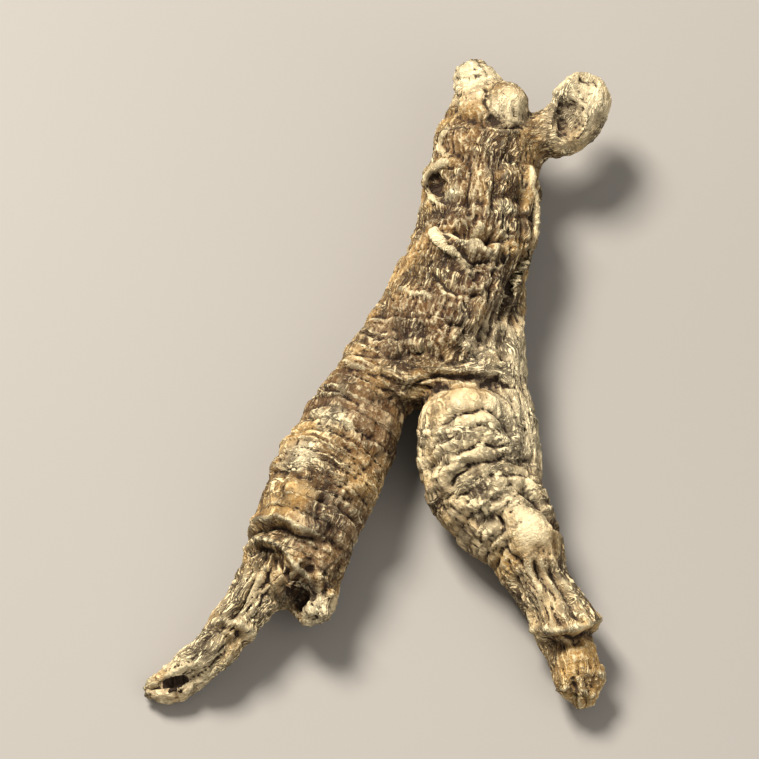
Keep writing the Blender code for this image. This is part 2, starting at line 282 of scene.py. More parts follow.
# Lips and creases on the upper side, seen from above: height, which is negative in a crease,
# width, and places
MARKS = {
    "groin_crease": (-0.4, 0.4, [(2.8, -2.9), (4.9, -2.7), (8.2, -2.3), (12.2, -1.9)]),
    "groin_lip": (0.3, 0.5, [(-3.0, 0.4), (0.3, -1.1), (2.8, -1.7), (7.2, -1.2)]),
    "hip_crease": (-0.3, 0.5, [(-6.0, -1.5), (-3.2, -3.1), (1.2, -3.9)]),
    "thigh_crease": (-0.4, 0.6, [(-7.4, -4.5), (-5.1, -5.5), (-2.8, -7.0), (-0.8, -7.4)]),
    "upper_band": (-0.4, 0.6, [(-8.4, -6.2), (-6.4, -6.6), (-2.4, -9.3), (0.0, -9.1)]),
    "middle_band": (-0.5, 0.6, [(-10.4, -10.3), (-7.2, -11.5), (-3.2, -14.0), (-1.0, -13.4)]),
    "shin_line": (-0.5, 0.6, [(-4.8, -14.4), (-3.4, -14.8), (-2.2, -15.2)]),
    "left_cuff": (0.5, 0.7, [(-12.6, -15.0), (-9.7, -15.3), (-7.8, -16.8), (-6.0, -17.2)]),
    "left_cuff_gap": (-0.8, 0.7, [(-12.4, -16.1), (-9.8, -16.6), (-6.0, -18.3), (-4.0, -17.9)]),
    "sleeve": (0.5, 0.7, [(-13.0, -16.8), (-11.0, -17.4), (-9.2, -18.9), (-6.8, -21.1)]),
    "sleeve_gap": (-0.7, 0.7, [(-12.8, -18.0), (-11.0, -18.6), (-9.5, -19.9), (-7.2, -22.0)]),
    "tail_furrow": (-0.4, 0.5, [(-11.4, -19.2), (-12.0, -20.7), (-13.0, -23.1)]),
    "tail_side_furrow": (-0.4, 0.5, [(-9.8, -20.4), (-10.6, -21.6), (-11.8, -23.7)]),
    "tail_band": (0.4, 0.6, [(-14.4, -24.8), (-12.8, -25.3), (-11.4, -25.7)]),
    "tail_slot": (-0.6, 0.6, [(-21.0, -29.8), (-19.2, -29.8), (-17.2, -29.4)]),
    "dome_fold": (-0.5, 0.6, [(6.2, -7.3), (8.4, -6.1), (10.8, -5.8), (12.4, -7.9)]),
    "second_fold": (-0.5, 0.6, [(4.2, -10.6), (5.8, -10.2), (8.4, -9.0), (10.4, -8.7)]),
    "third_fold": (-0.5, 0.6, [(6.2, -12.4), (7.4, -11.6), (11.2, -10.2), (13.4, -9.4)]),
    "knee_fold": (-0.6, 0.6, [(10.4, -14.7), (11.1, -13.7), (13.3, -13.0), (15.9, -15.1)]),
    "knee_side": (-0.5, 0.6, [(7.4, -16.0), (8.1, -15.7), (9.6, -15.8), (11.1, -16.0)]),
    "ankle_inner": (-0.6, 0.5, [(12.4, -20.4), (13.2, -22.5), (14.1, -24.9)]),
    "ankle_middle": (-0.7, 0.5, [(14.4, -19.8), (15.2, -22.2), (16.1, -25.2)]),
    "ankle_outer": (-0.6, 0.5, [(15.6, -20.2), (16.8, -22.4), (18.0, -24.6)]),
    "right_cuff": (0.5, 0.6, [(13.5, -25.1), (15.7, -25.9), (18.2, -25.2), (20.1, -23.6)]),
    "right_cuff_gap": (-0.5, 0.6, [(13.6, -26.0), (15.7, -27.1), (18.2, -26.5), (20.1, -24.7)]),
    "chest_upper_lip": (0.5, 0.6, [(5.0, 13.4), (6.2, 13.9), (8.0, 13.4), (10.0, 12.9)]),
    "chest_slit": (-0.9, 0.6, [(6.0, 12.4), (7.4, 12.2), (8.7, 11.7), (11.4, 12.2)]),
    "chest_lower_lip": (0.7, 0.6, [(5.1, 12.2), (6.0, 10.7), (8.6, 10.3), (10.6, 10.7)]),
    "chest_fold": (-0.4, 0.6, [(5.6, 9.6), (7.5, 8.5), (10.6, 8.6), (11.8, 10.2)]),
    "belly_fold": (-0.4, 0.6, [(-2.0, 1.4), (0.4, 0.6), (5.2, -0.1), (7.6, 0.5)]),
    "waist_fold": (-0.4, 0.6, [(-0.8, 3.9), (1.2, 2.3), (3.6, 2.6), (8.4, 2.5)]),
    "flank_furrow": (-0.8, 0.7, [(13.6, 10.7), (12.6, 8.1), (11.4, 5.7), (9.4, 1.6)]),
    "flank_side_furrow": (-0.6, 0.6, [(14.4, 12.5), (13.6, 9.5), (12.6, 6.5), (11.2, 1.1)]),
    "shoulder_ridge": (0.6, 0.6, [(13.8, 19.6), (14.8, 18.5), (15.0, 16.9), (14.0, 12.1)]),
    "shoulder_loop": (0.5, 0.6, [(6.2, 20.2), (5.0, 20.0), (4.3, 18.9), (4.8, 16.0)]),
    "collar": (-0.5, 0.6, [(4.4, 18.1), (6.4, 15.8), (10.4, 15.6), (12.8, 17.0)]),
    "throat": (-0.6, 0.7, [(6.4, 21.6), (8.0, 20.1), (10.0, 19.8), (12.2, 20.8)]),
    "nape": (-0.5, 0.6, [(6.6, 26.3), (8.0, 24.7), (9.6, 24.2)]),
    "breast_furrow": (-0.5, 0.5, [(7.8, 19.2), (7.4, 17.0), (8.2, 14.7)]),
    "breast_side_furrow": (-0.5, 0.5, [(11.2, 19.2), (10.8, 16.9), (12.0, 12.8)]),
}

# How far lips and creases wander off their line, how strongly they show where the skin stands
# upright, and how much more as it turns upwards
WANDER_LENGTH = 1.4
WANDER = 0.5
UPRIGHT_SHARE = 0.5
UPWARD_GAIN = 1.5

# Peeled strips of skin, too thin for the solid: stations of x, y, z and radius, each brought onto
# the skin later
PEELS = {
    "shoulder_peel": [
        (6.1, 20.1, 10.1, 0.22),
        (4.5, 19.6, 9.5, 0.28),
        (4.0, 18.5, 9.3, 0.30),
        (4.1, 17.5, 9.1, 0.28),
        (4.7, 16.7, 9.6, 0.26),
        (5.7, 15.8, 10.4, 0.20),
    ],
    "neck_peel": [
        (6.4, 24.0, 9.1, 0.22),
        (5.4, 23.4, 8.9, 0.26),
        (5.2, 22.4, 8.9, 0.26),
        (6.2, 21.2, 9.5, 0.20),
    ],
    "scar_lip": [
        (5.2, 12.6, 10.6, 0.12),
        (5.6, 11.8, 11.0, 0.24),
        (5.9, 10.8, 11.1, 0.16),
        (6.8, 10.0, 11.5, 0.20),
        (7.6, 9.2, 11.6, 0.30),
        (8.0, 8.4, 11.3, 0.20),
        (8.5, 8.3, 10.9, 0.12),
    ],
    "scar_lip_fork": [
        (5.4, 12.3, 10.7, 0.14),
        (6.1, 12.4, 10.9, 0.26),
        (6.8, 12.0, 11.0, 0.20),
        (7.4, 11.6, 11.1, 0.12),
    ],
    "scar_side_lip": [
        (12.1, 11.0, 10.0, 0.14),
        (11.9, 10.0, 10.1, 0.20),
        (11.2, 9.2, 10.4, 0.18),
        (10.2, 8.7, 10.9, 0.14),
    ],
    "right_ridge": [
        (13.9, 20.1, 9.0, 0.14),
        (14.0, 18.6, 8.9, 0.16),
        (14.5, 17.4, 8.0, 0.24),
        (14.8, 15.8, 7.6, 0.32),
        (14.5, 13.9, 7.3, 0.24),
        (14.3, 12.4, 6.9, 0.20),
        (13.7, 10.7, 7.6, 0.20),
        (13.1, 8.6, 8.2, 0.18),
        (12.7, 6.3, 8.5, 0.14),
    ],
}
PEEL_MELT = 0.12
PEEL_LIFT = 0.1  # how far a strip's middle stands off the plain skin, in its own radii
PEEL_SEATINGS = 4  # steps in which a strip is brought to the skin
PEEL_REACH = 0.25  # how far round a peel the skin is torn, smooth and pale
PEEL_TORN = 0.24
PEEL_SMOOTH = 0.4
PEEL_PALE = 0.85

# Hollows and knobs of the torn ends that are too small for the solid
PITS = [
    ((-9.0, -22.7, 7.0), (1.2, 0.35, 0.8)),
    ((-6.4, -22.4, 7.4), (1.1, 0.4, 0.9)),
    ((-6.6, -24.4, 5.6), (0.9, 0.6, 0.6)),
    ((-19.4, -29.7, 3.6), (1.6, 0.22, 0.6)),
    ((17.6, -30.4, 4.8), (0.6, 0.5, 0.6)),
    ((16.9, -29.3, 5.4), (0.5, 0.6, 0.5)),
    ((8.7, 11.2, 11.6), (0.9, 0.4, 0.6)),
    ((5.1, 18.3, 9.8), (0.5, 0.9, 0.7)),
    ((16.9, 25.2, 9.6), (0.6, 1.6, 1.4)),
    ((19.7, 29.2, 9.5), (1.1, 0.7, 0.55)),
]
TEETH = [
    (-10.0, -21.4, 7.0, 0.5),
    (-9.0, -20.9, 7.9, 0.5),
    (-8.3, -22.0, 7.4, 0.4),
    (-5.4, -21.3, 7.6, 0.45),
    (-4.4, -22.2, 6.8, 0.5),
    (-7.4, -24.0, 6.0, 0.5),
    (-5.0, -24.0, 6.0, 0.5),
    (16.8, 27.8, 9.0, 0.8),
    (17.9, 28.5, 9.2, 0.6),
    (18.6, 25.4, 9.4, 0.7),
    (18.0, 23.8, 9.0, 0.6),
]

# Where the skin is torn and jagged, seen from above: x, y, radius and height
RAGGED = [
    (-7.4, -21.9, 3.0, 0.30),
    (-19.8, -30.0, 2.0, 0.25),
    (18.0, -29.8, 2.4, 0.25),
    (18.0, 26.6, 3.8, 0.20),
    (8.8, 29.8, 2.0, 0.20),
    (8.0, 11.6, 3.2, 0.20),
]
RAGGED_LENGTH = 0.9

# Where the skin is smooth, seen from above: x, y, radius and how much of its relief is gone
SMOOTH = [
    (13.6, -17.0, 2.4, 0.75),
    (8.8, 29.4, 2.2, 0.5),
    (11.8, 26.4, 1.9, 0.2),
    (7.8, -4.6, 2.8, 0.5),
    (-7.4, -13.2, 2.0, 0.25),
    (-1.2, -11.6, 2.2, 0.25),
    (18.0, -27.6, 2.6, 0.4),
]

# Finer lips and creases on the upper side, measured as the others are. The material also gives a
# fine lip a painted highlight and a fine crease painted shade.
FINE_MARKS = {
    "shoulder_hollow": (-0.45, 0.4, [(5.0, 19.0), (5.7, 18.4), (6.0, 18.2)]),
    "scar_arc": (-0.4, 0.28, [(5.3, 13.4), (6.1, 13.8), (7.4, 13.3)]),
    "scar_slit": (-0.5, 0.3, [(6.7, 12.3), (7.4, 11.8), (8.4, 11.7), (9.8, 11.8), (10.8, 11.9)]),
    "scar_tongue": (0.2, 0.6, [(7.4, 10.8), (8.7, 10.6), (10.0, 10.6)]),
    "scar_lower_slit": (-0.5, 0.26, [(6.2, 10.8), (7.3, 10.2), (8.4, 9.3), (10.0, 9.5)]),
    "scar_dot": (0.3, 0.3, [(9.1, 12.9), (9.3, 12.9)]),
    "scar_dash": (0.25, 0.28, [(11.2, 12.9), (11.8, 12.7), (12.2, 12.8)]),
    "right_ridge_dark": (-0.45, 0.28, [
        (13.6, 10.6), (12.9, 8.8), (12.3, 7.6), (12.2, 6.8), (12.0, 5.9), (11.2, 4.0),
    ]),
    "loop_dark": (-0.35, 0.26, [(13.3, 17.4), (13.1, 16.0), (13.4, 15.0), (14.0, 15.6)]),
    "slot_a": (-0.45, 0.3, [(10.4, 6.6), (10.0, 5.8)]),
    "slot_b": (-0.4, 0.28, [(11.2, 5.7), (10.9, 4.6), (10.2, 2.7)]),
    "slot_ridge": (0.3, 0.26, [(11.6, 7.4), (11.2, 6.2), (10.6, 4.4), (9.8, 2.4)]),
    "breast_a": (-0.35, 0.32, [(10.7, 19.5), (10.6, 17.1), (10.3, 15.1)]),
    "breast_b": (-0.3, 0.3, [(8.4, 19.4), (8.2, 18.0), (7.4, 15.6)]),
    "breast_c": (-0.35, 0.3, [(9.1, 14.3), (8.7, 13.2)]),
    "breast_lump": (0.35, 0.9, [(11.8, 15.4), (12.0, 15.4)]),
    "hip_rim": (0.2, 0.22, [
        (-2.9, -0.2), (-1.1, -1.0), (0.6, -1.7), (1.9, -2.1), (3.5, -2.3),
        (4.7, -2.0), (6.2, -1.8), (8.0, -2.0), (10.4, -1.5),
    ]),
    "groin_line": (-0.7, 0.3, [
        (2.6, -2.6), (4.0, -1.8), (5.4, -1.7), (7.6, -1.6), (10.4, -1.6), (12.0, -1.9),
    ]),
    "hip_shadow": (-0.3, 0.28, [(-0.9, -1.2), (1.1, -2.2), (2.9, -2.6), (4.2, -2.7)]),
    "upper_ring": (0.2, 0.22, [
        (-5.5, -1.2), (-4.2, -2.1), (-2.9, -3.2), (-2.1, -3.8), (-0.8, -4.0),
    ]),
    "upper_ring_shadow": (-0.25, 0.24, [(-5.6, -1.7), (-4.2, -2.6), (-2.9, -3.7), (-2.0, -4.3)]),
    "pale_band": (0.42, 0.4, [
        (-6.8, -4.3), (-5.8, -4.9), (-4.2, -5.8), (-2.9, -6.6), (-2.5, -7.2),
    ]),
    "pale_band_shadow": (-0.3, 0.24, [(-6.0, -6.1), (-4.2, -7.2), (-3.4, -7.7), (-2.0, -7.9)]),
    "left_column": (-0.3, 0.28, [(-9.1, -10.5), (-9.1, -12.4), (-9.0, -14.0)]),
    "shin_crack": (-0.3, 0.22, [(-5.4, -14.4), (-3.7, -14.6), (-2.9, -15.0), (-1.9, -15.3)]),
    "shin_side_crack": (-0.25, 0.2, [(-5.5, -14.5), (-5.5, -16.5)]),
    "plate_rim": (-0.22, 0.24, [(1.0, -8.0), (-1.6, -11.4), (-3.4, -12.9), (-4.0, -14.4)]),
    "left_cuff_rim": (0.3, 0.24, [
        (-11.5, -15.2), (-9.8, -15.6), (-8.5, -16.4), (-7.3, -17.0), (-5.8, -17.7),
    ]),
    "left_cuff_shadow": (-0.6, 0.28, [
        (-11.4, -16.5), (-10.1, -16.3), (-9.5, -16.5), (-8.2, -17.2), (-7.1, -17.7), (-5.9, -18.1),
    ]),
    "sleeve_rim": (0.42, 0.24, [
        (-11.4, -17.4), (-10.2, -17.8), (-9.5, -18.4), (-8.7, -19.0), (-7.8, -20.2), (-6.8, -20.8),
    ]),
    "sleeve_shadow": (-0.45, 0.28, [
        (-11.6, -17.9), (-10.4, -18.4), (-9.6, -19.0), (-8.9, -19.6), (-8.0, -20.8), (-7.1, -21.5),
    ]),
    "tail_line_a": (-0.32, 0.26, [(-10.8, -18.5), (-11.8, -21.1), (-13.4, -24.2)]),
    "tail_line_b": (-0.3, 0.24, [(-9.8, -19.4), (-10.8, -21.6), (-12.0, -23.9)]),
    "tail_line_c": (-0.3, 0.24, [(-9.0, -20.2), (-10.0, -21.9), (-11.2, -23.7)]),
    "tail_ring": (0.28, 0.36, [(-15.0, -24.2), (-13.4, -24.7), (-12.2, -25.4), (-11.0, -25.6)]),
    "tail_ring_dark": (-0.35, 0.26, [
        (-14.4, -25.2), (-13.5, -25.5), (-12.6, -26.0), (-12.0, -26.3),
    ]),
    "tail_end_a": (-0.3, 0.26, [(-15.6, -25.7), (-16.8, -27.6), (-18.0, -29.0)]),
    "tail_end_b": (-0.3, 0.26, [(-14.0, -26.5), (-15.2, -28.3), (-16.8, -29.7)]),
    "tip_slot": (-0.4, 0.26, [(-21.6, -29.7), (-20.4, -29.7), (-19.4, -29.7), (-17.6, -29.9)]),
    "ankle1": (-0.42, 0.25, [(11.5, -19.1), (12.4, -21.6), (12.9, -24.0)]),
    "ankle2": (-0.38, 0.25, [(12.9, -19.5), (13.8, -21.6), (14.3, -25.2)]),
    "ankle3": (-0.45, 0.25, [(14.1, -19.5), (14.7, -21.6), (15.0, -24.1), (14.8, -25.5)]),
    "ankle4": (-0.45, 0.26, [(14.7, -19.7), (15.9, -22.4), (16.8, -25.5)]),
    "ankle5": (-0.4, 0.26, [(15.4, -19.4), (17.0, -22.3), (18.9, -24.4)]),
    "right_cuff_rim": (0.4, 0.3, [
        (13.6, -24.9), (15.6, -25.7), (17.3, -25.6), (19.0, -25.0), (20.0, -23.7),
    ]),
    "right_cuff_shadow": (-0.7, 0.3, [
        (13.7, -25.3), (15.6, -26.3), (17.3, -26.3), (19.0, -25.7), (20.0, -24.3),
    ]),
    "knob_crease": (-0.45, 0.28, [(11.1, -16.0), (11.0, -17.2), (11.6, -18.5), (12.8, -19.4)]),
    "knob_arc": (-0.38, 0.24, [
        (11.0, -15.7), (11.9, -14.2), (13.2, -13.4), (14.8, -13.4), (15.8, -14.9), (16.1, -15.9),
    ]),
    "knob_top": (-0.28, 0.22, [(12.0, -15.1), (13.0, -14.3), (14.2, -14.2), (15.1, -14.9)]),
    "lobe_left": (-0.3, 0.22, [(8.6, -15.3), (9.0, -14.3), (10.2, -14.0)]),
    "thigh_f1": (-0.2, 0.22, [(5.4, -7.3), (6.6, -6.7), (8.0, -6.2)]),
    "thigh_f2": (-0.28, 0.22, [(7.6, -6.3), (9.0, -5.9), (10.2, -5.6), (11.4, -6.2), (12.2, -7.6)]),
    "thigh_f3": (-0.26, 0.22, [
        (4.4, -9.2), (5.6, -8.7), (6.8, -8.3), (8.2, -7.8), (10.0, -7.4), (11.2, -8.1),
    ]),
    "thigh_f4": (-0.3, 0.22, [
        (5.0, -11.2), (6.2, -10.4), (7.6, -9.7), (9.2, -9.2), (11.2, -8.8), (13.0, -8.8),
    ]),
    "thigh_f5": (-0.28, 0.22, [
        (6.0, -12.5), (7.0, -11.7), (8.4, -11.1), (10.2, -10.6), (12.2, -10.2), (14.0, -10.2),
    ]),
    "thigh_f6": (-0.3, 0.22, [
        (6.8, -13.8), (7.8, -12.9), (9.2, -12.2), (11.2, -11.7), (13.2, -11.5), (14.8, -11.6),
    ]),
    "thigh_f7": (-0.28, 0.22, [
        (7.8, -15.4), (8.2, -14.6), (9.0, -13.6), (10.4, -13.0), (12.4, -12.6),
    ]),
    "thigh_f8": (-0.3, 0.24, [(9.0, -17.0), (9.6, -16.1), (10.6, -15.5)]),
    "thigh_f9": (-0.3, 0.24, [(10.4, -18.7), (11.0, -18.1)]),
    "toe_neck": (-0.3, 0.35, [(14.4, -26.3), (16.2, -27.2), (18.2, -26.8), (19.6, -25.6)]),
    "toe_hollow": (-0.35, 0.35, [(17.4, -31.4), (17.6, -31.4)]),
    "knot": (0.25, 0.5, [(-18.8, -27.0), (-18.6, -27.0)]),
    "toe_bump": (0.35, 0.5, [(20.4, -29.2), (20.6, -29.2)]),
    "shoulder_lump": (0.35, 0.9, [(6.2, 16.9), (6.4, 16.9)]),
    "belly_band": (0.3, 0.35, [(1.7, 7.1), (3.2, 6.2), (4.5, 5.5)]),
    "belly_fold": (-0.4, 0.3, [
        (4.6, 8.6), (5.2, 7.5), (6.8, 6.0), (8.4, 5.7), (9.8, 6.3), (10.6, 7.4),
    ]),
    "belly_swirl": (-0.28, 0.22, [
        (5.8, 4.6), (6.4, 5.3), (7.6, 5.2), (8.3, 4.0), (7.6, 2.8), (6.2, 2.9),
    ]),
    "waist_a": (-0.28, 0.22, [(-0.8, 5.2), (1.0, 4.3), (2.8, 3.7), (4.6, 3.5)]),
    "waist_b": (-0.26, 0.22, [(-2.4, 3.4), (-0.6, 2.6), (1.4, 2.0), (3.4, 1.9), (5.0, 2.1)]),
    "waist_c": (-0.28, 0.22, [(-3.8, 1.7), (-2.0, 0.9), (0.0, 0.3), (2.2, 0.1), (4.0, 0.3)]),
    "bud_crack": (-0.35, 0.28, [(9.9, 27.5), (9.5, 26.3), (9.9, 25.2), (10.8, 24.5)]),
    "bud_fold": (-0.4, 0.28, [(9.6, 24.6), (10.8, 23.9), (12.4, 23.9), (13.4, 24.4)]),
    "bud_lip": (0.3, 0.3, [(10.0, 24.2), (11.4, 23.4), (12.8, 23.4)]),
    "bud_cleft": (-0.2, 0.22, [(11.4, 27.0), (12.3, 26.2), (12.6, 25.0)]),
    "knob_cleft": (-0.3, 0.24, [(9.6, 30.8), (10.2, 29.6), (10.0, 28.4)]),
}
FINE_WANDER = 0.3
BREAK_LENGTH = 1.3
BREAK = 0.8  # how much a fine lip or crease comes and goes
DRAWN_HEIGHT = 0.30  # the height of a fine lip or crease that gets as much painted highlight or painted shade as any

# Wrinkles by limb: how much of the solid's rings and furrows is left between the finer ones, how
# deep the fine creases across it, along it and every way are, and how much of the finest cracking
# runs across the limb rather than along it
FINE_KINDS = ("coarse", "rings", "threads", "net", "across")
FINE_ROWS = {
    "torso": (0.9, 0.08, 0.36, 0.12, 0.2),
    "left_thigh": (0.6, 0.36, 0.06, 0.12, 0.7),
    "flank": (0.8, 0.06, 0.36, 0.06, 0.05),
    "neck": (0.8, 0.26, 0.16, 0.16, 0.6),
    "right_thigh": (0.55, 0.38, 0.04, 0.12, 0.8),
    "right_ankle": (1.0, 0.04, 0.42, 0.04, 0.05),
    "right_toe": (1.0, 0.12, 0.26, 0.14, 0.3),
    "left_stub": (1.0, 0.12, 0.26, 0.18, 0.4),
    "left_tail": (1.0, 0.06, 0.38, 0.04, 0.05),
    "front_bud": (1.0, 0.12, 0.10, 0.12, 0.5),
    "groin_fold": (1.0, 0.14, 0.24, 0.14, 0.4),
    "side_scar": (0.5, 0.04, 0.10, 0.16, 0.2),
}
FINE = {name: dict(zip(FINE_KINDS, row)) for name, row in FINE_ROWS.items()}

# The size of those creases: how far apart they are, and how many times longer
RING_GAP = 0.8
RING_RUN = 9.0
THREAD_GAP = 0.7
THREAD_RUN = 8.0
NET_GAP = 0.75
NET_RUN = 2.0
FINER = 0.5  # the second set of each kind, next to the first, in gap and in depth
CRACK_WIDTH = 0.17  # how far from a crack's middle the skin is level again, in the noise's own units
SHIFT_LENGTH = 2.2
SHIFT = 0.40  # how far the creases wander
GRAIN_LENGTH = 0.45
GRAIN_HEIGHT = 0.04

# Turns the stretched noise out of line with its own lattice, so that creases don't line up
TURN_ANGLES = (0.6, 0.9, 0.4)
TURN = np.array(Euler(TURN_ANGLES).to_matrix())

# How the height above the surroundings is measured: smoothing passes, and the height that counts
# as one
CREST_PASSES = 6
CREST_HEIGHT = 0.10
SWELL_PASSES = 60
SWELL_HEIGHT = 0.30

# Patches of colour, seen from above: x, y, radius and strength
PATCHES = {
    # pale skin on knobs, scars and torn ends; the large ones on the right thigh and flank are partly
    # painted light
    "pale_and_lit": [
        (13.6, -16.3, 2.1, 0.9),
        (8.8, 29.8, 2.8, 1.0),
        (11.8, 25.8, 2.0, 0.9),
        (18.8, 27.2, 4.2, 1.0),
        (-5.6, -23.6, 1.6, 0.9),
        (-19.6, -30.0, 1.6, 0.6),
        (17.0, 28.0, 1.6, 0.9),
        (-7.1, -9.6, 1.6, 1.0),
        (-4.4, -5.8, 1.3, 0.8),
        (8.8, -8.8, 6.0, 0.8),
        (10.8, -13.2, 4.8, 0.8),
        (13.4, -6.4, 5.0, 1.0),
        (13.4, 0.6, 4.8, 1.0),
        (15.8, -21.8, 3.6, 0.5),
        (-17.0, -27.4, 3.6, 0.8),
        (-12.2, -22.6, 3.4, 0.7),
    ],
    # the skin's own brown, and on the torso and the left thigh also painted shade
    "brown_and_shaded": [
        (8.4, 8.0, 5.0, 1.0),
        (6.0, 4.8, 5.0, 1.0),
        (2.2, 2.2, 4.8, 0.9),
        (9.0, 15.4, 5.0, 0.8),
        (9.4, 21.4, 4.4, 0.6),
        (-3.8, -16.0, 4.6, 0.9),
        (-0.6, -6.0, 3.8, 0.95),
        (-4.4, -2.6, 4.8, 0.8),
        (-5.0, -9.4, 4.4, 0.75),
        (-8.0, -22.2, 2.4, 0.9),
    ],
    "ochre": [
        (17.3, 24.6, 1.3, 0.9),
        (18.0, -28.6, 3.4, 0.6),
        (-11.6, -21.6, 3.6, 0.7),
        (-7.8, -13.2, 2.2, 0.45),
        (-1.6, -11.6, 2.2, 0.4),
        (7.6, -4.8, 2.2, 0.6),
        (-6.2, -7.4, 2.2, 0.6),
        (10.8, 16.6, 1.8, 0.4),
        (12.2, 11.4, 1.3, 0.6),
        (6.4, 9.0, 1.8, 0.3),
        (12.4, 1.0, 2.0, 0.4),
        (16.8, -22.6, 2.4, 0.5),
    ],
    "grey": [
        (8.6, 1.2, 2.2, 0.7),
        (-6.4, -17.6, 2.6, 0.6),
        (-3.0, -4.2, 2.6, 0.4),
        (1.4, 3.2, 2.6, 0.4),
        (8.6, 16.4, 2.0, 0.4),
        (-3.4, -14.6, 2.6, 0.5),
    ],
}
PATCH_EDGE_LENGTH = 1.6
PATCH_EDGE = 0.45
PATCH_CORE = 1.6  # a patch's strength at its middle, before it is cut off at 1
PATCH_FALL = 1.2  # how much of that is lost by its radius

# Colours of the skin, as they look on a screen
SKIN_BROWN = (172, 130, 72)
SKIN_TAN = (210, 168, 100)
DUSK = (124, 86, 44)
# partly the skin's own brown and partly painted shade on the torso and left thigh
BROWN_AND_SHADED = (112, 76, 38)
GREY = (142, 112, 80)
OCHRE = (206, 160, 88)
# partly the skin's own paleness and partly painted light on the right thigh and flank
PALE_AND_LIT = (255, 234, 188)
# painted shade in the broad hollows
HOLLOW_SHADE = (86, 58, 32)
# on crests and ridges: partly their own pale colour, partly a painted highlight
CREST_PALE_AND_HIGHLIGHT = (255, 236, 188)
# painted shade in the creases and cracks
CREASE_SHADE = (40, 23, 11)

# How much of each of these colours is mixed in where it is strongest
DUSK_SHARE = 0.8
PALE_AND_LIT_SHARE = 0.92
HOLLOW_SHADE_SHARE = 0.8
CREST_PALE_AND_HIGHLIGHT_SHARE = 0.8
CREASE_SHADE_SHARE = 0.94
RIDGE_SHARE = 0.6

# Noises of the material: scale in a metre, detail and, where it isn't 0.5, roughness
BLOTCH_NOISE = (260, 3.0)
DUSK_NOISE = (620, 4.0, 0.6)
PATCHY_NOISE = (300, 3.0)
GRAIN_NOISE = (3200, 3.0, 0.6)
FIBRE_NOISE = (5200, 3.0, 0.65)
ROUGHNESS_NOISE = (900, 2.0)
FLOOR_NOISE = (6.0, 2.0)

# What is read of each value: from, to, and what these two become where that isn't 0 and 1
BLOTCH_RANGE = (0.38, 0.62)
DUSK_RANGE = (0.48, 0.66)
PATCHY_RANGE = (0.40, 0.60, 0.4, 1.0)
GRAIN_RANGE = (0.2, 0.8, -1.0, 1.0)
WIDE_CRACK = (0.075, 0.02)
NARROW_CRACK = (0.10, 0.03, 0.0, 0.95)
WIDE_RIDGE = (0.06, 0.14)
NARROW_RIDGE = (0.06, 0.15, 0.0, 0.7)
HOLLOW_SHADE_RANGE = (0.2, -1.0)
CREST_RANGE = (0.2, 1.3)
DRAWN_CREST = (0.3, 1.0)
CREASE_RANGE = (-0.05, -0.95)
DRAWN_CREASE = (-0.4, -1.1)
ROUGHNESS_RANGE = (0.3, 0.7, 0.72, 0.95)
FLOOR_RANGE = (0.3, 0.7)

# Folds of the material: how many there are in a millimetre, along the limb and to both sides,
# and their noise's detail
WIDE_RINGS = ((1.7, 0.26, 0.26), 3.0)
WIDE_THREADS = ((0.22, 1.9, 1.9), 3.0)
NARROW_RINGS = ((3.4, 0.7, 0.7), 2.0)
NARROW_THREADS = ((0.5, 3.6, 3.6), 2.0)
DRIFT_SCALE = 420.0
DRIFT_DETAIL = 1.0
DRIFT = 1.6  # how far the folds wander, in millimetres

# How deep the grain, the fibres and the cracks are in the material's own bumps, and the sheen
GRAIN_BUMP = 0.6
FIBRE_BUMP = 0.3
CRACK_BUMP = 0.6
BUMP_DISTANCE = 0.0003
SKIN_SPECULAR = 0.3

# The floor and its colours, as they look on a screen
FLOOR_HALF = 1.5  # in metres
FLOOR_DARK = (138, 132, 124)
FLOOR_LIGHT = (146, 140, 132)
FLOOR_ROUGHNESS = 0.6

# The light: place and size in metres, power in watts, and colour
KEY = ((-0.20, 0.28, 0.46), 0.20, 6.7, (1.0, 0.965, 0.905))
FILL = ((0.30, -0.30, 0.40), 0.50, 1.4, (1.0, 1.0, 1.0))
WORLD_COLOUR = (1.0, 0.985, 0.955, 1)
WORLD_STRENGTH = 0.35

# The camera, in metres, with its sensor and how far it sees
CAMERA_DISTANCE = 0.9
CAMERA_ELEVATION = math.radians(64)
CAMERA_TARGET = (0.0, 0.0, 0.005)
VIEW_WIDTH = 0.070  # how much the camera sees across at the root
SENSOR_WIDTH = 36  # in millimetres
CAMERA_REACH = 10


def smooth_row(stations):
    """The stations with a Catmull-Rom curve run through them, places and radii alike."""
    known = np.array(stations, float)
    known = np.vstack([2 * known[0] - known[1], known, 2 * known[-1] - known[-2]])
    row = []
    for a, b, c, d in zip(known, known[1:], known[2:], known[3:]):
        for t in np.arange(STEPS_PER_SPAN) / STEPS_PER_SPAN:
            row.append(
                b
                + 0.5 * t * (c - a)
                + t * t * (a - 2.5 * b + 2 * c - 0.5 * d)
                + 0.5 * t**3 * (3 * b - a - 3 * c + d)
            )
    row.append(known[-2])
    return np.array(row)


ROWS = {name: smooth_row(limb["stations"]) for name, limb in LIMBS.items()}


def limb_place(points, row):
    """Each point's distance from a limb's skin, how far along the limb it is, and its place beside
    the limb's middle: sideways and upwards. Points out of the limb's reach are only far off."""
    reach = row[:, 3:] + LIMB_REACH
    low = (row[:, :3] - reach).min(0)
    high = (row[:, :3] + reach).max(0)
    within = np.where(((points > low) & (points < high)).all(1))[0]
    distance = np.full(len(points), FAR)
    along = np.zeros(len(points))
    beside = np.zeros((len(points), 2))
    distance[within], along[within], beside[within] = near_limb_place(points[within], row)
    return distance, along, beside


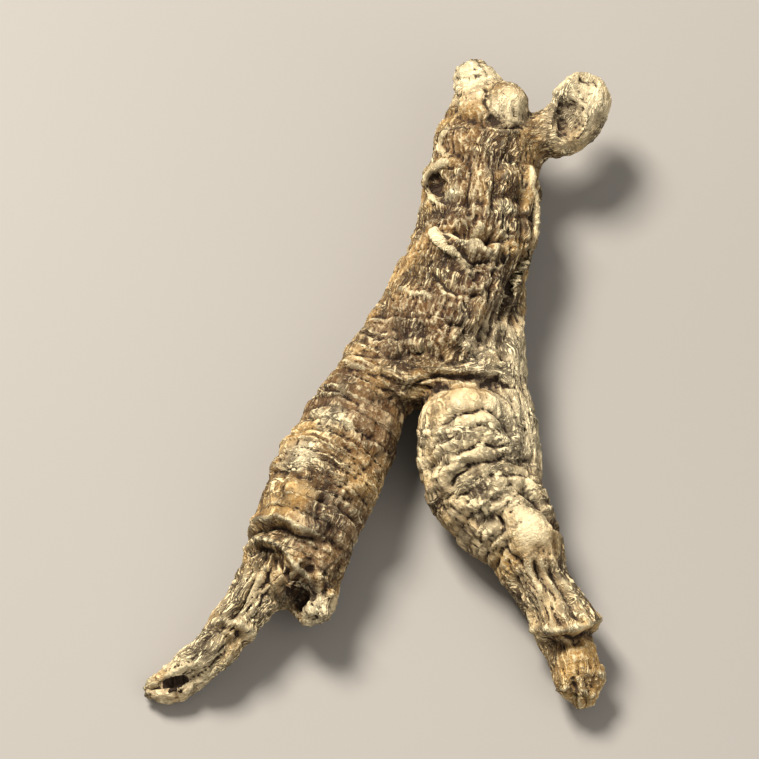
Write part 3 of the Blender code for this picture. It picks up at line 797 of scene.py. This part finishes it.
def near_limb_place(points, row):
    """The same for points within the limb's reach, from the nearest of its cones."""
    nearest = np.full(len(points), FAR)
    along = np.zeros(len(points))
    beside = np.zeros((len(points), 2))
    passed = 0.0
    for start, end in zip(row, row[1:]):
        axis = end[:3] - start[:3]
        length = np.linalg.norm(axis)
        offset = points - start[:3]
        t = np.clip(offset @ axis / length**2, 0, 1)
        offset -= t[:, None] * axis
        gap = np.sqrt((offset**2).sum(1)) - start[3] - t * (end[3] - start[3])
        closer = gap < nearest
        nearest[closer] = gap[closer]
        along[closer] = passed + t[closer] * length
        side = np.cross(axis / length, (0, 0, 1))
        side /= np.linalg.norm(side)
        rise = np.cross(side, axis / length)
        beside[closer, 0] = offset[closer] @ side
        beside[closer, 1] = offset[closer] @ rise
        passed += length
    return nearest, along, beside


def melted(distances, softness):
    """The smooth union of several distances."""
    least = np.min(distances, axis=0)
    spread = sum(np.exp((least - d) / softness) for d in distances)
    return least - softness * np.log(spread)


def body_field(points):
    """How far each point is outside the root, without its relief and its peeled strips."""
    groups = []
    for softness, names in MELTS:
        distances = [limb_place(points, ROWS[name])[0] for name in names]
        groups.append(melted(distances, softness))
    outside = melted(groups, LIMB_MELT)
    knobs = [np.linalg.norm(points - place, axis=1) - radius for *place, radius in KNOBS + TEETH]
    outside = melted([outside, *knobs], KNOB_MELT)
    for middle, half_widths in HOLLOWS + PITS:
        shape = np.linalg.norm((points - middle) / half_widths, axis=1) - 1
        hollow = shape * min(half_widths)
        outside = -melted([-outside, hollow], HOLLOW_MELT)
    return outside


def slope(points, shape):
    """The slope of a field at each point, which points straight out of its skin."""
    moves = np.eye(3) * SLOPE_STEP
    rise = [shape(points + move) - shape(points - move) for move in moves]
    return np.stack(rise, 1) / (2 * SLOPE_STEP)


def seated_row(stations):
    """A strip's smooth row with its middle brought to just off the body's plain skin."""
    row = smooth_row(stations)
    for _ in range(PEEL_SEATINGS):
        out = slope(row[:, :3], body_field)
        off = body_field(row[:, :3]) - PEEL_LIFT * row[:, 3]
        row[:, :3] -= (off / (out**2).sum(1))[:, None] * out
    return row


PEEL_ROWS = [seated_row(stations) for stations in PEELS.values()]


def field(points):
    """How far each point is outside the root, without its relief."""
    peels = [limb_place(points, row)[0] for row in PEEL_ROWS]
    return melted([body_field(points), *peels], PEEL_MELT)


def grid_points(low, counts, cell):
    """The corners of a grid of cubes, as a list."""
    steps = np.stack(np.meshgrid(*[np.arange(n) for n in counts], indexing="ij"), -1)
    return low + steps.reshape(-1, 3) * cell


def sampled_skin(cell):
    """Points and quads of the field's surface, sampled on cubes of this side. Whole blocks of
    cubes that the skin doesn't pass through take one value each."""
    reach = np.vstack([row[:, :3] - row[:, 3:] for row in ROWS.values()])
    low = reach.min(0) - MARGIN
    reach = np.vstack([row[:, :3] + row[:, 3:] for row in ROWS.values()])
    high = reach.max(0) + MARGIN
    blocks = np.ceil((high - low) / (cell * BLOCK)).astype(int)
    values = field(grid_points(low, blocks, cell * BLOCK)).reshape(blocks)
    for axis in range(3):
        values = values.repeat(BLOCK, axis)
    close = np.where(np.abs(values.reshape(-1)) < BLOCK_REACH)[0]
    steps = np.stack(np.unravel_index(close, values.shape), -1)
    values.reshape(-1)[close] = field(low + steps * cell)
    grid = openvdb.FloatGrid(float(values.max()))
    grid.copyFromArray(values.astype(np.float32))
    points, quads = grid.convertToQuads()
    return points * cell + low, np.array(quads, int)


def neighbour_ends(quads):
    """Both ends of every face's sides. Faces that meet run along their side in opposite ways, so
    each point has all its neighbours."""
    return np.vstack([quads[:, [0, 1]], quads[:, [1, 2]], quads[:, [2, 3]], quads[:, [3, 0]]])


def neighbour_mean(values, ends):
    """The mean of each point's neighbours."""
    count = np.bincount(ends[:, 0], minlength=len(values))[:, None]
    sums = [np.bincount(ends[:, 0], column[ends[:, 1]], len(values)) for column in values.T]
    return np.stack(sums, 1) / count


def evened(points, quads, passes):
    """The points moved sideways to even out the faces, and put back on the skin."""
    ends = neighbour_ends(quads)
    for _ in range(passes):
        points = 0.5 * points + 0.5 * neighbour_mean(points, ends)
        out = slope(points, field)
        steep = (out**2).sum(1)
        points = points - (field(points) / steep)[:, None] * out
    return points


def noise_at(points, length):
    """Smooth noise from -1 to 1 at each point, with lumps about this long."""
    return np.array([noise.noise(Vector(p)) for p in points / length])


def limb_relief(limb, along, beside):
    """The rings and furrows of one limb, as heights above its skin."""
    ring_height, ring_spacing = limb["rings"]
    inner = np.column_stack([along, beside])
    warp = noise_at(inner, RING_WARP_LENGTH) * RING_WARP
    fade = RING_REST + noise_at(inner + FADE_PLACE, RING_FADE_LENGTH)
    fade = np.clip(fade, RING_LEAST, RING_MOST)
    ring = np.abs(np.sin(np.pi * (along / ring_spacing + warp))) ** RING_SHARPNESS
    stretch = np.array([FURROW_WIDTH / FURROW_LENGTH, 1, 1])
    furrow = np.abs(noise_at(inner * stretch + FURROW_PLACE, FURROW_WIDTH))
    return ring_height * fade * (ring - RING_REST) + limb["furrows"] * (FURROW_REST - furrow)


def crack(values):
    """A height that drops to -1 where the noise passes zero, and is 0 elsewhere."""
    return -np.exp(-np.abs(values) / CRACK_WIDTH)


def creases(inner, gap, runs, place):
    """Creases this far apart that run on this many times longer in each direction, from -1 in the
    deepest to 0."""
    first = noise_at((inner / runs) @ TURN + place, gap)
    second = noise_at((inner / runs) @ TURN - place, gap * FINER)
    return crack(first) + FINER * crack(second)


def fine_relief(fine, along, beside):
    """The fine creases across and along one limb and its net of cracks, as heights."""
    inner = np.column_stack([along, beside])
    places = (FADE_PLACE, FURROW_PLACE, BUMP_PLACE)
    shift = [noise_at(inner + place, SHIFT_LENGTH) for place in places]
    inner += SHIFT * np.stack(shift, 1)
    height = fine["rings"] * creases(inner, RING_GAP, (1, RING_RUN, RING_RUN), BUMP_PLACE)
    height += fine["threads"] * creases(inner, THREAD_GAP, (THREAD_RUN, 1, 1), FADE_PLACE)
    height += fine["net"] * creases(inner, NET_GAP, (NET_RUN, 1, 1), FURROW_PLACE)
    return height


def mark_relief(points, marks, wander):
    """How far these lips and creases raise or sink the upper side of the skin."""
    drift = [noise_at(points + place, WANDER_LENGTH) for place in (FADE_PLACE, FURROW_PLACE)]
    plan = points[:, :2] + wander * np.stack(drift, 1)
    height = np.zeros(len(points))
    for rise, width, places in marks.values():
        places = np.array(places)
        gap = np.full(len(points), FAR)
        for start, end in zip(places, places[1:]):
            axis = end - start
            t = np.clip((plan - start) @ axis / (axis @ axis), 0, 1)
            gap = np.minimum(gap, np.linalg.norm(plan - start - t[:, None] * axis, axis=1))
        height += rise * np.exp(-((gap / width) ** 2))
    return height


def relief(points, out):
    """How far the skin stands above the plain field at each point, its place in its limb, and what
    the material reads of the finest relief."""
    total = np.zeros(len(points))
    weights = np.full(len(points), LEAST_WEIGHT)
    across = np.zeros(len(points))
    closest = np.full(len(points), FAR)
    inner = np.zeros_like(points)
    for name, limb in LIMBS.items():
        gap, along, beside = limb_place(points, ROWS[name])
        closer = gap < closest
        closest[closer] = gap[closer]
        inner[closer] = np.column_stack([along, beside])[closer]
        weight = np.exp(-np.clip(gap, 0, None) / RELIEF_REACH)
        near = weight > LEAST_WEIGHT
        fine = FINE[name]
        own = fine["coarse"] * limb_relief(limb, along[near], beside[near])
        own += fine_relief(fine, along[near], beside[near])
        total[near] += weight[near] * own
        across[near] += weight[near] * fine["across"]
        weights[near] += weight[near]
    peel_gap = np.min([limb_place(points, row)[0] for row in PEEL_ROWS], axis=0)
    peel = np.exp(-((np.clip(peel_gap, 0, None) / PEEL_REACH) ** 2))
    facing = np.clip(UPRIGHT_SHARE + UPWARD_GAIN * out[:, 2], 0, 1)
    drawn = mark_relief(points, FINE_MARKS, FINE_WANDER) * facing
    drawn *= np.clip(1 + BREAK * noise_at(points + BUMP_PLACE, BREAK_LENGTH), RING_LEAST, RING_MOST)
    rough = (1 - patch_strength(points, SMOOTH)) * (1 - PEEL_SMOOTH * peel)
    height = LUMP_HEIGHT * noise_at(points, LUMP_LENGTH)
    height += rough * BUMP_HEIGHT * noise_at(points + BUMP_PLACE, BUMP_LENGTH)
    height += rough * GRAIN_HEIGHT * noise_at(points, GRAIN_LENGTH)
    torn = patch_strength(points, RAGGED) + PEEL_TORN * peel
    height += torn * noise_at(points + FADE_PLACE, RAGGED_LENGTH)
    height += rough * total / weights + mark_relief(points, MARKS, WANDER) * facing + drawn
    # painted highlight on fine lips and painted shade in fine creases, with the pale peeled strips'
    # own colour
    drawn = np.maximum(drawn / DRAWN_HEIGHT, PEEL_PALE * peel)
    return height, inner, {"across": across / weights, "drawn": drawn, "rough": rough}


def corner_normals(points, quads):
    """The direction out of the finished skin at each point."""
    corners = points[quads]
    faces = np.cross(corners[:, 2] - corners[:, 0], corners[:, 3] - corners[:, 1])
    total = np.zeros_like(points)
    for corner in range(4):
        for axis in range(3):
            total[:, axis] += np.bincount(quads[:, corner], faces[:, axis], len(points))
    return total / np.linalg.norm(total, axis=1)[:, None]


def height_above(points, quads, out, passes, unit):
    """How far each point stands above the skin round it, in these units."""
    ends = neighbour_ends(quads)
    level = points
    for _ in range(passes):
        level = 0.5 * level + 0.5 * neighbour_mean(level, ends)
    return ((points - level) * out).sum(1) / unit


def patch_strength(points, patches):
    """How strongly these patches act at each point: 0 outside them, up to their own strength."""
    edge = PATCH_EDGE * noise_at(points, PATCH_EDGE_LENGTH)
    strength = np.zeros(len(points))
    for x, y, radius, most in patches:
        gap = np.hypot(points[:, 0] - x, points[:, 1] - y) / radius + edge
        strength = np.maximum(strength, most * np.clip(PATCH_CORE - PATCH_FALL * gap, 0, 1))
    return strength


def build_skin():
    """The finished skin as points in millimetres, quads and what the material reads."""
    points, quads = sampled_skin(SKIN_CELL)
    points = evened(points, quads, SKIN_PASSES)
    out = slope(points, field)
    out /= np.linalg.norm(out, axis=1)[:, None]
    height, inner, facts = relief(points, out)
    points = points + height[:, None] * out
    for name, patches in PATCHES.items():
        facts[name] = patch_strength(points, patches)
    points -= (CENTRE_X, CENTRE_Y, REST_DEPTH)
    points[:, 2] = np.maximum(points[:, 2], 0)
    out = corner_normals(points, quads)
    # the material paints shade into creases and hollows and a highlight onto crests by these heights
    facts["crest"] = height_above(points, quads, out, CREST_PASSES, CREST_HEIGHT)
    facts["swell"] = height_above(points, quads, out, SWELL_PASSES, SWELL_HEIGHT)
    return points, quads, facts, inner


def rgb(screen):
    """A colour as it looks on a screen, as the light values that a shader takes."""
    values = np.array(screen) / 255
    return (*np.where(values > 0.04, ((values + 0.055) / 1.055) ** 2.4, values / 12.92), 1.0)


class Nodes:
    """A short way to add shader nodes and join them."""

    def __init__(self, material):
        material.use_nodes = True
        self.tree = material.node_tree
        self.shader = self.tree.nodes["Principled BSDF"]

    def add(self, kind, values=None, **settings):
        node = self.tree.nodes.new(kind)
        for name, value in settings.items():
            setattr(node, name, value)
        for socket, value in (values or {}).items():
            self.put(node.inputs[socket], value)
        return node

    def put(self, socket, value):
        if isinstance(value, bpy.types.NodeSocket):
            self.tree.links.new(value, socket)
        else:
            socket.default_value = value

    def attribute(self, name):
        return self.add("ShaderNodeAttribute", attribute_name=name).outputs["Fac"]

    def vector(self, name):
        return self.add("ShaderNodeAttribute", attribute_name=name).outputs["Vector"]

    def wandering(self, inner, place):
        """The place in the limb, in millimetres, moved about so that creases wander."""
        values = {"Vector": place, "Scale": DRIFT_SCALE, "Detail": DRIFT_DETAIL}
        drift = self.add("ShaderNodeTexNoise", values).outputs["Color"]
        drift = self.add("ShaderNodeVectorMath", {0: drift, 3: DRIFT}, operation="SCALE").outputs[0]
        return self.add("ShaderNodeVectorMath", {0: inner, 1: drift}, operation="ADD").outputs[0]

    def folds(self, inner, scales, detail):
        """How far off the creases the skin is, 0 in a crease, with folds of these sizes."""
        values = {"Vector": inner, "Rotation": TURN_ANGLES, "Scale": scales}
        turned = self.add("ShaderNodeMapping", values).outputs[0]
        off = self.math("SUBTRACT", self.noise(turned, 1.0, detail), 0.5)
        return self.add("ShaderNodeMath", {0: off}, operation="ABSOLUTE").outputs[0]

    def blend(self, factor, a, b):
        return self.add("ShaderNodeMix", {0: factor, 2: a, 3: b}).outputs[0]

    def noise(self, place, scale, detail=2.0, roughness=0.5):
        values = {"Vector": place, "Scale": scale, "Detail": detail, "Roughness": roughness}
        return self.add("ShaderNodeTexNoise", values).outputs["Fac"]

    def ranged(self, value, low, high, to_low=0.0, to_high=1.0):
        values = {"Value": value, "From Min": low, "From Max": high}
        values.update({"To Min": to_low, "To Max": to_high})
        return self.add("ShaderNodeMapRange", values).outputs["Result"]

    def math(self, operation, a, b):
        return self.add("ShaderNodeMath", {0: a, 1: b}, operation=operation).outputs[0]

    def mixed(self, factor, a, b):
        values = {"Factor": factor, 6: a, 7: b}
        return self.add("ShaderNodeMix", values, data_type="RGBA").outputs[2]


def plain_colour(nodes, place):
    """The skin's blotches and patches of colour, without its creases and crests. The brown patches
    are partly painted shade and the pale ones partly painted light.
    """
    blotch = nodes.ranged(nodes.noise(place, *BLOTCH_NOISE), *BLOTCH_RANGE)
    colour = nodes.mixed(blotch, rgb(SKIN_BROWN), rgb(SKIN_TAN))
    dusk = nodes.ranged(nodes.noise(place, *DUSK_NOISE), *DUSK_RANGE)
    colour = nodes.mixed(nodes.math("MULTIPLY", dusk, DUSK_SHARE), colour, rgb(DUSK))
    # the brown patches are partly painted shade
    for name, patch in (("brown_and_shaded", BROWN_AND_SHADED), ("grey", GREY), ("ochre", OCHRE)):
        colour = nodes.mixed(nodes.attribute(name), colour, rgb(patch))
    # pale patches, partly painted light on the right thigh and flank
    pale_and_lit = nodes.math("MULTIPLY", nodes.attribute("pale_and_lit"), PALE_AND_LIT_SHARE)
    return nodes.mixed(pale_and_lit, colour, rgb(PALE_AND_LIT))


def cracks_and_ridges(nodes, place):
    """How strongly the finest cracks and the ridges between them show, both from 0 to 1. The cracks
    get painted shade as well as bumps, and the ridges a painted highlight, partly their own
    paleness.
    """
    inner = nodes.wandering(nodes.vector("inner"), place)
    across = nodes.attribute("across")
    wide = nodes.blend(across, nodes.folds(inner, *WIDE_THREADS), nodes.folds(inner, *WIDE_RINGS))
    fine_threads = nodes.folds(inner, *NARROW_THREADS)
    narrow = nodes.blend(across, fine_threads, nodes.folds(inner, *NARROW_RINGS))
    patchy = nodes.ranged(nodes.noise(place, *PATCHY_NOISE), *PATCHY_RANGE)
    patchy = nodes.math("MULTIPLY", patchy, nodes.attribute("rough"))
    cracks = nodes.ranged(narrow, *NARROW_CRACK)
    cracks = nodes.math("MAXIMUM", nodes.ranged(wide, *WIDE_CRACK), cracks)
    cracks = nodes.math("MULTIPLY", cracks, patchy)
    ridges = nodes.ranged(narrow, *NARROW_RIDGE)
    ridges = nodes.math("ADD", nodes.ranged(wide, *WIDE_RIDGE), ridges)
    ridges = nodes.math("MULTIPLY", ridges, nodes.math("MULTIPLY", patchy, RIDGE_SHARE))
    return cracks, ridges


def shaded_colour(nodes, colour, grain, cracks, ridges):
    """The colour with painted shade in hollows, creases and cracks, and made paler on crests and
    ridges, partly with their own pale colour and partly with a painted highlight.
    """
    crest = nodes.math("ADD", nodes.attribute("crest"), nodes.ranged(grain, *GRAIN_RANGE))
    drawn = nodes.attribute("drawn")
    # painted shade in the broad hollows
    hollow = nodes.ranged(nodes.attribute("swell"), *HOLLOW_SHADE_RANGE)
    colour = nodes.mixed(nodes.math("MULTIPLY", hollow, HOLLOW_SHADE_SHARE), colour, rgb(HOLLOW_SHADE))
    # crests, lips and ridges: partly their own pale colour, partly a painted highlight
    top = nodes.ranged(drawn, *DRAWN_CREST)
    top = nodes.math("MAXIMUM", nodes.ranged(crest, *CREST_RANGE), top)
    top = nodes.math("MAXIMUM", top, ridges)
    colour = nodes.mixed(nodes.math("MULTIPLY", top, CREST_PALE_AND_HIGHLIGHT_SHARE), colour, rgb(CREST_PALE_AND_HIGHLIGHT))
    # painted shade in creases, fine creases and cracks
    crease = nodes.ranged(drawn, *DRAWN_CREASE)
    crease = nodes.math("MAXIMUM", nodes.ranged(crest, *CREASE_RANGE), crease)
    crease = nodes.math("MAXIMUM", crease, cracks)
    return nodes.mixed(nodes.math("MULTIPLY", crease, CREASE_SHADE_SHARE), colour, rgb(CREASE_SHADE))


def fine_bumps(nodes, place, grain, cracks):
    """The direction out of the skin with its grain, fibres and finest cracks."""
    fibre = nodes.math("MULTIPLY", nodes.noise(place, *FIBRE_NOISE), FIBRE_BUMP)
    pitted = nodes.math("ADD", nodes.math("MULTIPLY", grain, GRAIN_BUMP), fibre)
    pitted = nodes.math("SUBTRACT", pitted, nodes.math("MULTIPLY", cracks, CRACK_BUMP))
    values = {"Strength": 1.0, "Distance": BUMP_DISTANCE, "Height": pitted}
    return nodes.add("ShaderNodeBump", values).outputs["Normal"]


def skin_material():
    """Dried skin: blotched, with painted shade in its creases and paler crests, partly their own
    colour and partly a painted highlight.
    """
    material = bpy.data.materials.new("dried_root_skin_fine")
    nodes = Nodes(material)
    place = nodes.add("ShaderNodeTexCoord").outputs["Object"]
    grain = nodes.noise(place, *GRAIN_NOISE)
    cracks, ridges = cracks_and_ridges(nodes, place)
    colour = shaded_colour(nodes, plain_colour(nodes, place), grain, cracks, ridges)
    nodes.put(nodes.shader.inputs["Base Color"], colour)
    rough = nodes.ranged(nodes.noise(place, *ROUGHNESS_NOISE), *ROUGHNESS_RANGE)
    nodes.put(nodes.shader.inputs["Roughness"], rough)
    nodes.put(nodes.shader.inputs["Specular IOR Level"], SKIN_SPECULAR)
    nodes.put(nodes.shader.inputs["Normal"], fine_bumps(nodes, place, grain, cracks))
    return material


def floor_material():
    material = bpy.data.materials.new("pale_floor")
    nodes = Nodes(material)
    place = nodes.add("ShaderNodeTexCoord").outputs["Object"]
    cloud = nodes.ranged(nodes.noise(place, *FLOOR_NOISE), *FLOOR_RANGE)
    colour = nodes.mixed(cloud, rgb(FLOOR_DARK), rgb(FLOOR_LIGHT))
    nodes.put(nodes.shader.inputs["Base Color"], colour)
    nodes.put(nodes.shader.inputs["Roughness"], FLOOR_ROUGHNESS)
    return material


def add_root():
    points, quads, facts, inner = build_skin()
    mesh = bpy.data.meshes.new("root_skin")
    mesh.from_pydata(points * MM, [], quads.tolist())
    mesh.shade_smooth()
    for name, values in facts.items():
        attribute = mesh.attributes.new(name, "FLOAT", "POINT")
        attribute.data.foreach_set("value", values.astype(np.float32))
    attribute = mesh.attributes.new("inner", "FLOAT_VECTOR", "POINT")
    attribute.data.foreach_set("vector", inner.astype(np.float32).ravel())
    mesh.materials.append(skin_material())
    root = bpy.data.objects.new("root_skin", mesh)
    bpy.context.scene.collection.objects.link(root)
    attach(root, "root")
    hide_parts("ginseng_root")


def add_floor():
    mesh = bpy.data.meshes.new("floor")
    turns = ((-1, -1), (1, -1), (1, 1), (-1, 1))
    corners = [(x * FLOOR_HALF, y * FLOOR_HALF, 0) for x, y in turns]
    mesh.from_pydata(corners, [], [(0, 1, 2, 3)])
    mesh.materials.append(floor_material())
    floor = bpy.data.objects.new("floor", mesh)
    bpy.context.scene.collection.objects.link(floor)


def aimed(place, target):
    """The rotation that turns a camera or lamp at this place to face the target."""
    return (Vector(target) - Vector(place)).to_track_quat("-Z", "Y").to_euler()


def add_lamp(name, place, size, power, colour):
    lamp = bpy.data.lights.new(name, "AREA")
    lamp.size = size
    lamp.energy = power
    lamp.color = colour
    obj = bpy.data.objects.new(name, lamp)
    obj.location = place
    obj.rotation_euler = aimed(place, (0, 0, 0))
    bpy.context.scene.collection.objects.link(obj)


def add_light():
    add_lamp("key", *KEY)
    add_lamp("fill", *FILL)
    world = bpy.data.worlds.new("studio")
    world.use_nodes = True
    background = world.node_tree.nodes["Background"]
    background.inputs["Color"].default_value = WORLD_COLOUR
    background.inputs["Strength"].default_value = WORLD_STRENGTH
    bpy.context.scene.world = world


def add_camera():
    camera = bpy.data.cameras.new("camera")
    camera.sensor_width = SENSOR_WIDTH
    camera.lens = SENSOR_WIDTH * CAMERA_DISTANCE / VIEW_WIDTH
    camera.clip_end = CAMERA_REACH
    obj = bpy.data.objects.new("camera", camera)
    back = CAMERA_DISTANCE * math.cos(CAMERA_ELEVATION)
    up = CAMERA_DISTANCE * math.sin(CAMERA_ELEVATION)
    obj.location = Vector(CAMERA_TARGET) + Vector((0, -back, up))
    obj.rotation_euler = aimed(obj.location, CAMERA_TARGET)
    bpy.context.scene.collection.objects.link(obj)
    bpy.context.scene.camera = obj


def main():
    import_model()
    add_camera()
    add_light()
    add_floor()
    add_root()
    bpy.context.scene.view_settings.view_transform = "Standard"


main()
